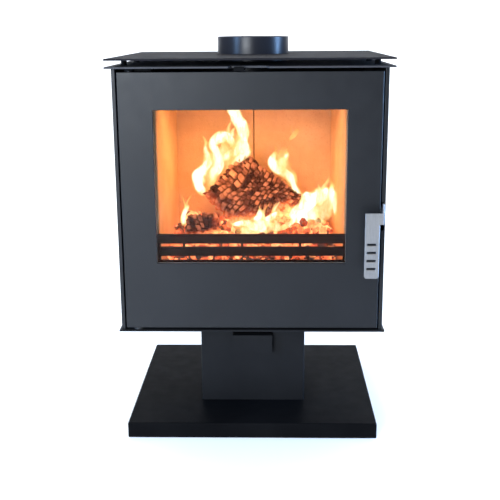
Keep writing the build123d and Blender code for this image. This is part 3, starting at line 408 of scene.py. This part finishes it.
turned_steel = brushed_metal(
    "turned_steel", (0.34, 0.34, 0.35), (0.60, 0.60, 0.61), 0.3, (200.0, 200.0, 3000.0)
)
zinc_sheet = brushed_metal(
    "zinc_sheet", (0.27, 0.28, 0.29), (0.37, 0.38, 0.39), 0.5, (90.0, 90.0, 90.0)
)
grate_iron = cast_iron("grate_iron", (0.022, 0.018, 0.016), (0.06, 0.05, 0.045), 0.6)
firebrick = refractory("firebrick", (0.66, 0.47, 0.30), (0.82, 0.62, 0.42), 0.0008)
vermiculite = refractory("vermiculite", (0.50, 0.40, 0.26), (0.70, 0.58, 0.40), 0.0012)
glass = ceramic_glass("ceramic_glass")
rope = knitted_rope("seal_rope", (0.012, 0.012, 0.013), (0.06, 0.06, 0.062))
# Pale fibre tape round the glass; its pale colour also stands in for the fire's reflection along the window
# edges: partly painted reflection.
pale_tape_and_reflection = knitted_rope("pale_tape_and_reflection", (0.40, 0.36, 0.31), (0.66, 0.61, 0.54))
charcoal = charred_wood("charred_wood", 1.8)
coals = glowing_coal("glowing_coal", 2.2)
fire = flame_light("flame", 1.9)

slot_materials = {
    "stove_paint": stove_paint,
    "collar_iron": collar_paint,
    "grate_iron": grate_iron,
    "firebox_steel": firebox_paint,
    "galvanised_steel": zinc_sheet,
    "firebrick": firebrick,
    "vermiculite": vermiculite,
    "ceramic_glass": glass,
    "seal_rope": rope,
    "stainless": stainless,
    "bright_steel": turned_steel,
    "fastener_steel": black_fastener,
    "charred_log": charcoal,
    "embers": coals,
}
for entry in frame["record"]["subparts"]:
    mesh = frame["nodes"][entry["node"]].data
    mesh.materials.clear()
    mesh.materials.append(slot_materials[entry["material_slot"]])
for name, material in {
    "top_plate_upper": lightened_top_paint,
    "top_plate_lower": highlight_lightened_paint,
    "top_spacers": shade_darkened_paint,
    "air_wash_slider": shade_darkened_paint,
    "base_plate": shade_darkened_paint,
    "pedestal_shell": pedestal_paint,
    "pedestal_rear_cover": pedestal_paint,
    "primary_air_slide": pedestal_paint,
    "bottom_plate": pedestal_paint,
    "hinge_pins": black_fastener,
    "hinge_washer": black_fastener,
    "hinge_bracket_upper": shade_darkened_paint,
    "log_guard": guard_paint,
    "glass_gasket": pale_tape_and_reflection,
}.items():
    frame["nodes"][name].data.materials[0] = material


# ==== Mesh helpers ====


def piece_from(name, points, faces, material, values=None, smooth=True):
    """A mesh object from points and faces, with values stored on its points."""
    mesh = bpy.data.meshes.new(name)
    mesh.from_pydata([tuple(p) for p in points], [], faces)
    mesh.update()
    for key, numbers in (values or {}).items():
        layer = mesh.attributes.new(key, "FLOAT", "POINT")
        layer.data.foreach_set("value", np.asarray(numbers, dtype=np.float32))
    if smooth:
        mesh.shade_smooth()
    else:
        mesh.shade_flat()
    mesh.materials.append(material)
    made = bpy.data.objects.new(name, mesh)
    bpy.context.collection.objects.link(made)
    return made


def corners(name):
    """The lowest and highest corners of a CAD node, as vectors."""
    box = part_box(name)
    return Vector(box[0]), Vector(box[1])


def smoothstep(value):
    """An even ease from 0 to 1."""
    value = min(max(value, 0.0), 1.0)
    return value * value * (3.0 - 2.0 * value)


# ==== Logs ====


def charred_block(name, corner_points, sag, thickness, cells, steps, seed, glow):
    """A split log: a rounded slab between four corners, checked into blocks like charcoal.

    corner_points run round the near face, whose lower edge sags by the given distance;
    thickness is the slab's depth behind it, and glow gives the warmth at a place on it.
    """
    rng = random.Random(seed)
    near = [Vector(p) for p in corner_points]
    columns, rows, layers = steps
    points, crack, warmth, tone, index = [], [], [], [], {}
    tones = {}
    normal = (near[1] - near[0]).cross(near[3] - near[0]).normalized()
    if normal.y > 0:
        normal = -normal

    def place(i, j, k):
        """The point at a step along the slab, across it and through it."""
        if (i, j, k) in index:
            return index[i, j, k]
        u, v, w = i / columns, j / rows, k / layers
        top_edge = near[0].lerp(near[1], u)
        low_edge = near[3].lerp(near[2], u) - Vector((0, 0, 4.0 * sag * u * (1.0 - u) ** 1.2))
        rounding = 0.42 * abs(2 * v - 1) ** 5 + 0.22 * abs(2 * u - 1) ** 9
        through = w + (0.5 - w) * min(rounding * 2.0, 0.9)
        base = top_edge.lerp(low_edge, v) - normal * thickness * through
        middle = (near[0] + near[2]) / 2 - normal * thickness / 2
        drift = noise.noise(base * 22.0 + Vector((seed, 0, 0)))
        along = u * cells[0] + 0.9 * drift + 0.5 * noise.noise(base * 40.0)
        over = v * cells[1] + 0.6 * drift + 0.45 * noise.noise(base * 40.0 + Vector((5, 1, 2)))
        over += 0.5 * (math.floor(along) % 2)
        from_along = abs(along - round(along))
        from_over = abs(over - round(over))
        depth = max(math.exp(-((from_along / 0.12) ** 2)), 0.9 * math.exp(-((from_over / 0.13) ** 2)))
        key = (math.floor(along), math.floor(over), w > 0.5)
        if key not in tones:
            tones[key] = rng.random()
        outward = (base - middle).normalized()
        rough = noise.fractal(base * 100.0, 0.7, 2.0, 4) * 0.0020
        lumps = noise.noise(base * 28.0) * 0.0045 + (tones[key] - 0.5) * 0.003 * (1.0 - depth)
        point = base - outward * depth * 0.0058 + outward * (rough + lumps)
        index[i, j, k] = len(points)
        points.append(point)
        crack.append(depth)
        tone.append(tones[key])
        warmth.append(glow(u, v) + 0.30 * noise.noise(base * 24.0))
        return index[i, j, k]

    faces = []
    for i in range(columns):
        for j in range(rows):
            for k in (0, layers):
                faces.append(
                    [place(i, j, k), place(i + 1, j, k), place(i + 1, j + 1, k), place(i, j + 1, k)]
                )
    for k in range(layers):
        for i in range(columns):
            for j in (0, rows):
                faces.append(
                    [place(i, j, k), place(i + 1, j, k), place(i + 1, j, k + 1), place(i, j, k + 1)]
                )
        for j in range(rows):
            for i in (0, columns):
                faces.append(
                    [place(i, j, k), place(i, j + 1, k), place(i, j + 1, k + 1), place(i, j, k + 1)]
                )
    made = piece_from(name, points, faces, charcoal, {"crack": crack, "warmth": warmth, "tone": tone})
    mesh = bmesh.new()
    mesh.from_mesh(made.data)
    bmesh.ops.recalc_face_normals(mesh, faces=mesh.faces)
    mesh.to_mesh(made.data)
    mesh.free()
    return made


def keep_inside(made, box):
    """Holds a piece's points inside a box."""
    for vertex in made.data.vertices:
        for axis in range(3):
            vertex.co[axis] = min(max(vertex.co[axis], box[0][axis]), box[1][axis])


def adopt(made, slot, *nodes):
    """Rides a piece on the stove's body and hides the CAD nodes it stands for. The slot is not used."""
    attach(made, BODY)
    if nodes:
        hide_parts(*nodes)


log_low, log_high = corners("log_large")
log_span = log_high - log_low


def on_log(across, up, back):
    """A place in the large log's box, by fractions of its sides."""
    return (
        log_low.x + across * log_span.x,
        log_low.y + back * log_span.y,
        log_low.z + up * log_span.z,
    )


large_log = charred_block(
    "split_log",
    [on_log(0.40, 0.98, 0.55), on_log(0.98, 0.36, 0.42), on_log(0.78, 0.03, 0.10), on_log(0.03, 0.50, 0.22)],
    0.038,
    log_span.y * 0.55,
    cells=(19, 10),
    steps=(170, 110, 14),
    seed=3,
    glow=lambda u, v: 1.15 * smoothstep(u * 1.1 + v * 0.75 - 0.68) + 0.25 * smoothstep(5.0 * (v - 0.80)),
)
keep_inside(large_log, (log_low, log_high))
adopt(large_log, "charred_log", "log_large")

small_low, small_high = corners("log_small")
small_span = small_high - small_low


def on_small_log(across, up, back):
    """A place in the small log's box, by fractions of its sides."""
    return (
        small_low.x + across * small_span.x,
        small_low.y + back * small_span.y,
        small_low.z + up * small_span.z,
    )


small_log = charred_block(
    "short_log",
    [
        on_small_log(0.03, 0.93, 0.35),
        on_small_log(0.95, 0.98, 0.40),
        on_small_log(0.98, 0.05, 0.15),
        on_small_log(0.05, 0.05, 0.10),
    ],
    0.0,
    small_span.y * 0.6,
    cells=(8, 5),
    steps=(80, 60, 14),
    seed=11,
    glow=lambda u, v: 0.75 * smoothstep(2.0 * v - 0.9) + 0.45 * smoothstep(2.0 * u - 1.0),
)
keep_inside(small_log, (small_low, small_high))
adopt(small_log, "charred_log", "log_small")

# ==== Embers ====

ember_high = corners("ember_bed")[1]
guard_rear = corners("log_guard")[1].y
brick_half = corners("side_brick_right")[0].x + 0.010
brick_face = corners("side_brick_right")[0].x - 0.001  # the coals stop short of the side bricks
hearth = corners("floor_brick_front")[1].z


def coal_heap(name, count, seed):
    """A bed of broken charcoal: lumps of many sizes, heaped up in the two corners."""
    rng = random.Random(seed)
    ball = bmesh.new()
    bmesh.ops.create_icosphere(ball, subdivisions=2, radius=1.0)
    shape = [v.co.copy() for v in ball.verts]
    triangles = [[v.index for v in f.verts] for f in ball.faces]
    ball.free()
    points, faces, warmths = [], [], []
    half, front, rear = brick_half - 0.004, guard_rear + 0.006, ember_high.y
    for _ in range(count):
        size = 0.003 + 0.0085 * rng.random() ** 2
        back = rng.random()
        across = rng.uniform(-1.0, 1.0)
        y = front + back * (rear - front)
        reach = half - 0.075 * (y - front) - size
        left_pile = math.exp(-(((across + 0.92) / 0.22) ** 2)) * 0.75
        right_pile = math.exp(-(((across - 0.72) / 0.30) ** 2)) * 0.95
        piled = left_pile + right_pile
        crest = 0.014 + 0.012 * smoothstep(back * 3.0) + 0.028 * piled * smoothstep(back * 2.2)
        x = across * reach
        if small_low.x - 0.004 < x < small_high.x and y < small_high.y:
            crest = 0.008  # the short log stands clear of the coals in front of it
        centre = Vector((x, y, hearth + size + crest * rng.random() ** 0.45))
        turn = Matrix.Rotation(rng.uniform(0, math.tau), 3, Vector((rng.random(), rng.random(), 1.0)))
        squash = Vector((rng.uniform(0.7, 1.3), rng.uniform(0.6, 1.0), rng.uniform(0.5, 0.9)))
        warmth = rng.uniform(0.0, 1.0) - (0.2 if back < 0.12 else 0.0)
        start = len(points)
        for corner in shape:
            bulge = 1.0 + 0.55 * noise.noise(corner * 1.4 + centre * 90.0)
            point = centre + turn @ (corner * squash * bulge * size)
            point.z = max(point.z, hearth + 0.0002)
            point.y = min(max(point.y, front), rear)
            point.x = min(max(point.x, -brick_face), brick_face)
            points.append(point)
            warmths.append(warmth)
        faces += [[start + i for i in triangle] for triangle in triangles]
    return piece_from(name, points, faces, coals, {"warmth": warmths}, smooth=False)


ember_heap = coal_heap("ember_heap", 2450, seed=5)
adopt(ember_heap, "embers", "ember_bed")

# ==== Flames ====

window_low, window_high = corners("window_glass")
window_half = (window_high.x - window_low.x) / 2 - 0.009
fire_floor = ember_high.z
fire_tall = window_high.z - 0.009 - fire_floor


def flame(name, path, widths, flatness, strength, seed, rounds=20, rings=36):
    """A tongue of fire along a path of (x, y, z) points, soft towards its sides and tips."""
    knots = [Vector(p) for p in path]
    points, core = [], []

    def along(values, t):
        """A smooth place along a list of points or numbers."""
        position = t * (len(values) - 1)
        first = min(int(position), len(values) - 2)
        part = position - first
        before = values[max(first - 1, 0)]
        start, end = values[first], values[first + 1]
        after = values[min(first + 2, len(values) - 1)]
        return 0.5 * (
            2 * start
            + (end - before) * part
            + (2 * before - 5 * start + 4 * end - after) * part**2
            + (3 * start - before - 3 * end + after) * part**3
        )

    for ring in range(rings + 1):
        t = ring / rings
        centre = along(knots, t)
        centre += 0.004 * math.sin(math.pi * t) * noise.noise_vector(centre * 34.0 + Vector((seed, 0, 0)))
        ahead = along(knots, min(t + 0.02, 1.0)) - along(knots, max(t - 0.02, 0.0))
        ahead.normalize()
        side = ahead.cross(Vector((0, 1, 0))).normalized()
        depth = side.cross(ahead).normalized()
        width = max(along(widths, t), 0.0004)
        for step in range(rounds):
            angle = math.tau * step / rounds
            bend = Vector((math.cos(angle), math.sin(angle), seed)) * 0.9
            flicker = 1.0 + 0.55 * noise.noise(centre * 60.0 + bend)
            offset = side * math.cos(angle) * width * flicker
            offset += depth * math.sin(angle) * width * flatness
            points.append(centre + offset)
            ends = min(1.0, 6.0 * t, 5.0 * (1.0 - t))
            core.append(strength * ends * min(1.0, 0.35 + width / 0.010))
    faces = []
    for ring in range(rings):
        for step in range(rounds):
            here = ring * rounds + step
            beside = ring * rounds + (step + 1) % rounds
            faces.append([here, beside, beside + rounds, here + rounds])
    faces.append(list(range(rounds))[::-1])
    faces.append([rings * rounds + step for step in range(rounds)])
    made = piece_from(name, points, faces, fire, {"core": core})
    adopt(made, "embers")
    made.visible_shadow = False
    made.visible_diffuse = False


def in_fire(across, up, y):
    """A place in the fire: across from -1 to 1, up from the embers to the window's top."""
    return Vector((across * window_half, y, fire_floor + up * fire_tall))


flame_width_step = 0.00103  # metres of half width to each 1.0 in the table
# Each tongue has a strength, a depth and a line of (across, up, half width in those steps).
flame_depths = {
    "back": (log_low.y + log_high.y) / 2 + 0.012,
    "mid": log_low.y - 0.012,
    "near": small_low.y + 0.004,
}
flames = [
    (1.00, "back", [
        (-0.57, 0.28, 4.9), (-0.64, 0.34, 10.8), (-0.64, 0.43, 11.8), (-0.57, 0.50, 9.7),
        (-0.54, 0.58, 6.8), (-0.56, 0.65, 3.9), (-0.54, 0.70, 1.5),
    ]),
    (1.00, "back", [
        (-0.50, 0.34, 3.9), (-0.47, 0.44, 9.7), (-0.41, 0.51, 9.7), (-0.43, 0.60, 8.8),
        (-0.47, 0.67, 9.7), (-0.39, 0.72, 11.8), (-0.30, 0.72, 9.7), (-0.25, 0.67, 4.9),
        (-0.24, 0.62, 1.8),
    ]),
    (1.00, "back", [
        (-0.27, 0.48, 3.6), (-0.20, 0.53, 9.1), (-0.12, 0.59, 11.8), (-0.10, 0.68, 9.1),
        (-0.13, 0.79, 10.9), (-0.18, 0.87, 12.7), (-0.24, 0.92, 10.0), (-0.27, 0.97, 6.4),
    ]),
    (0.80, "back", [
        (-0.37, 0.53, 3.1), (-0.30, 0.58, 7.2), (-0.21, 0.62, 9.4), (-0.15, 0.68, 6.2),
        (-0.15, 0.73, 2.5),
    ]),
    (0.90, "back", [
        (0.59, 0.22, 2.3), (0.56, 0.28, 4.1), (0.50, 0.34, 5.9), (0.44, 0.41, 7.3),
        (0.35, 0.45, 8.2), (0.28, 0.48, 9.1), (0.23, 0.53, 9.1), (0.24, 0.58, 6.4),
        (0.28, 0.62, 2.3),
    ]),
    (0.70, "back", [
        (0.36, 0.43, 3.1), (0.35, 0.50, 7.2), (0.36, 0.55, 7.2), (0.40, 0.59, 5.2),
        (0.41, 0.62, 1.6),
    ]),
    (0.22, "back", [
        (0.42, 0.69, 2.2), (0.47, 0.73, 5.0), (0.51, 0.76, 4.3), (0.54, 0.79, 2.2),
    ]),
    (1.30, "mid", [
        (0.49, 0.02, 16.4), (0.55, 0.12, 21.9), (0.58, 0.20, 18.6), (0.66, 0.26, 16.4),
        (0.72, 0.33, 14.2), (0.70, 0.37, 5.5),
    ]),
    (1.00, "mid", [
        (0.72, 0.25, 7.9), (0.79, 0.30, 11.2), (0.84, 0.34, 9.0), (0.88, 0.38, 2.8),
    ]),
    (0.70, "mid", [
        (0.97, 0.15, 3.9), (0.96, 0.22, 6.5), (0.93, 0.30, 7.6), (0.91, 0.36, 5.1),
        (0.91, 0.41, 1.9),
    ]),
    (1.10, "mid", [
        (0.58, 0.02, 11.2), (0.63, 0.09, 13.5), (0.70, 0.15, 11.2), (0.75, 0.20, 5.7),
    ]),
    (1.20, "near", [
        (-0.25, 0.13, 2.5), (-0.16, 0.14, 6.2), (-0.07, 0.14, 8.3), (0.03, 0.12, 9.2),
        (0.09, 0.14, 8.3), (0.12, 0.09, 9.2), (0.16, 0.06, 5.2),
    ]),
    (1.10, "near", [
        (0.03, 0.14, 6.6), (0.08, 0.18, 7.6), (0.09, 0.22, 5.6), (0.07, 0.25, 1.7),
    ]),
    (1.10, "near", [
        (0.16, 0.14, 7.6), (0.21, 0.18, 7.6), (0.25, 0.21, 5.6), (0.30, 0.23, 2.2),
    ]),
    (0.90, "near", [
        (-0.11, 0.12, 6.6), (-0.08, 0.08, 5.6), (-0.03, 0.06, 4.3),
    ]),
    (0.70, "near", [
        (-0.79, 0.12, 3.5), (-0.79, 0.18, 5.3), (-0.75, 0.24, 4.2), (-0.72, 0.28, 1.8),
    ]),
    (0.32, "back", [
        (-0.52, 0.30, 6.7), (-0.52, 0.42, 14.3), (-0.46, 0.54, 16.8), (-0.36, 0.62, 15.1),
        (-0.30, 0.72, 6.7),
    ]),
    (0.32, "back", [
        (-0.36, 0.44, 5.9), (-0.26, 0.52, 15.1), (-0.16, 0.62, 16.8), (-0.14, 0.74, 11.8),
        (-0.20, 0.84, 5.0),
    ]),
    (0.28, "back", [
        (0.52, 0.26, 4.2), (0.46, 0.38, 10.9), (0.38, 0.47, 15.1), (0.34, 0.56, 12.6),
        (0.38, 0.66, 3.4),
    ]),
    (0.50, "mid", [
        (0.60, 0.02, 16.0), (0.72, 0.14, 22.0), (0.82, 0.24, 17.0), (0.90, 0.34, 8.0),
        (0.92, 0.44, 2.0),
    ]),
    (0.55, "near", [
        (-0.20, 0.08, 8.0), (-0.02, 0.10, 13.0), (0.14, 0.12, 15.0), (0.28, 0.12, 10.0),
        (0.34, 0.14, 4.0),
    ]),
]
lick_rng = random.Random(17)
for number, (strength, depth, line) in enumerate(flames, start=1):
    spine = [in_fire(across, up, flame_depths[depth]) for across, up, _ in line]
    half_widths = [width * flame_width_step for _, _, width in line]
    flame(f"flame_{number}", spine, half_widths, 0.55, strength, seed=number)
    # Thin licks that break away from the tongue and rise.
    for extra in range(2):
        spot = lick_rng.randrange(1, len(spine) - 1)
        width = half_widths[spot]
        aside = lick_rng.uniform(-0.8, 0.8) * width
        start = spine[spot] + Vector((aside, lick_rng.uniform(-0.004, 0.004), 0))
        lean = lick_rng.uniform(-0.5, 0.5)
        tall = lick_rng.uniform(0.018, 0.036)
        bend = [
            start + Vector((lean * tall * f**1.5, 0, tall * f)) for f in (0.0, 0.3, 0.6, 0.85, 1.0)
        ]
        flame(
            f"lick_{number}_{extra}",
            bend,
            [0.5 * width + 0.001, 0.55 * width, 0.35 * width, 0.18 * width, 0.0006],
            0.6,
            0.55 * strength,
            seed=40 + 2 * number + extra,
            rounds=12,
            rings=18,
        )

# ==== Floor, light and camera ====

FIRE = (1.0, 0.44, 0.135)
COOL = (0.30, 0.55, 1.0)


def studio_sweep():
    """A pale floor that curves up into a wall behind the stove."""
    half, front_edge, bend, radius, top = 6.0, -5.0, 2.2, 1.6, 4.5
    profile = [(front_edge, 0.0), (bend, 0.0)]
    profile += [
        (bend + radius * math.sin(a), radius * (1 - math.cos(a)))
        for a in (math.radians(7.5 * k) for k in range(1, 13))
    ]
    profile.append((bend + radius, top))
    points = [(x, y, z) for y, z in profile for x in (-half, half)]
    faces = [[2 * i, 2 * i + 1, 2 * i + 3, 2 * i + 2] for i in range(len(profile) - 1)]
    material, tree, shader = new_material("studio_floor", Roughness=0.32)
    tone = noise_texture(tree, 1.5, 3.0)
    tree.links.new(
        ramp(tree, tone, [(0.3, (0.90, 0.90, 0.90)), (0.7, (0.93, 0.93, 0.93))]),
        shader.inputs["Base Color"],
    )
    made = piece_from("studio_sweep", points, faces, material)


studio_sweep()


def area_light(name, place, target, size, power, colour=(1.0, 1.0, 1.0)):
    """A soft rectangular lamp that points at a target."""
    lamp = bpy.data.lights.new(name, "AREA")
    lamp.shape = "RECTANGLE"
    lamp.size, lamp.size_y = size
    lamp.energy = power
    lamp.color = colour
    made = bpy.data.objects.new(name, lamp)
    made.location = place
    made.rotation_euler = (Vector(target) - Vector(place)).to_track_quat("-Z", "Y").to_euler()
    bpy.context.collection.objects.link(made)
    return made


def hidden_from_view(lamp):
    """Keeps a lamp's own shape out of the picture and out of reflections."""
    lamp.visible_camera = False
    lamp.visible_transmission = False
    lamp.visible_glossy = False


def fire_light(name, place, power, radius=0.02):
    """A small warm lamp inside the firebox."""
    lamp = bpy.data.lights.new(name, "POINT")
    lamp.energy = power
    lamp.color = FIRE
    lamp.shadow_soft_size = radius
    made = bpy.data.objects.new(name, lamp)
    made.location = place
    bpy.context.collection.objects.link(made)
    hidden_from_view(made)


studio_lamps = [
    area_light("overhead", (0.0, 0.6, 3.4), (0.0, 0.6, 0.0), (4.5, 4.5), 100.0),
    area_light("key_left", (-0.95, -2.4, 0.85), (-0.1, -0.2, 0.5), (1.0, 0.7), 76.0, (0.86, 0.93, 1.0)),
    area_light("strip_left", (-1.8, -1.35, 0.75), (0.0, 0.07, 0.68), (0.35, 1.0), 44.0, COOL),
    area_light("strip_right", (2.2, -0.10, 0.75), (0.0, 0.07, 0.68), (0.4, 1.0), 104.0, COOL),
    area_light("backdrop_wash", (0.0, 1.4, 3.2), (0.0, 3.8, 1.2), (5.0, 1.0), 120.0),
]
for lamp in studio_lamps:
    # The studio's light doesn't reach in through the glass, so the fire alone lights the firebox.
    lamp.visible_transmission = False

fire_middle = (log_low.y + log_high.y) / 2
lintel = Vector((0.0, window_high.y + 0.060, window_high.z + 0.012))
glow = area_light("fire_glow", lintel, in_fire(0.0, 0.3, fire_middle + 0.06), (0.12, 0.05), 0.95, FIRE)
hidden_from_view(glow)
fire_light("fire_left", in_fire(-0.38, 0.55, fire_middle - 0.04), 0.38)
fire_light("fire_right", in_fire(0.50, 0.25, log_low.y - 0.03), 0.27)
fire_light("fire_low", in_fire(0.05, 0.08, small_low.y - 0.02), 0.20)

world = bpy.data.worlds.new("studio")
world.use_nodes = True
background = world.node_tree.nodes["Background"]
background.inputs["Color"].default_value = (0.95, 0.97, 1.0, 1.0)
background.inputs["Strength"].default_value = 0.35
bpy.context.scene.world = world


def aim_camera():
    """The camera, where the picture of the stove was taken from."""
    stand_off = 1.4388
    height = 0.708
    sideways = 0.03755
    pitch, turn, roll = math.radians(14.135), math.radians(-1.538), math.radians(0.404)
    top_front = corners("top_plate_upper")[0].y
    right = Vector((math.cos(turn), -math.sin(turn), 0.0))
    forward = Vector(
        (math.sin(turn) * math.cos(pitch), math.cos(turn) * math.cos(pitch), -math.sin(pitch))
    )
    down = forward.cross(right)
    tilted_right = right * math.cos(roll) + down * math.sin(roll)
    tilted_down = down * math.cos(roll) - right * math.sin(roll)
    data = bpy.data.cameras.new("camera")
    data.lens = 63.55
    data.sensor_width = 36.0
    camera = bpy.data.objects.new("camera", data)
    axes = Matrix((tilted_right, -tilted_down, -forward)).transposed()
    camera.matrix_world = Matrix.Translation((sideways, top_front - stand_off, height)) @ axes.to_4x4()
    bpy.context.collection.objects.link(camera)
    bpy.context.scene.camera = camera


aim_camera()
bpy.context.scene.view_settings.view_transform = "Standard"
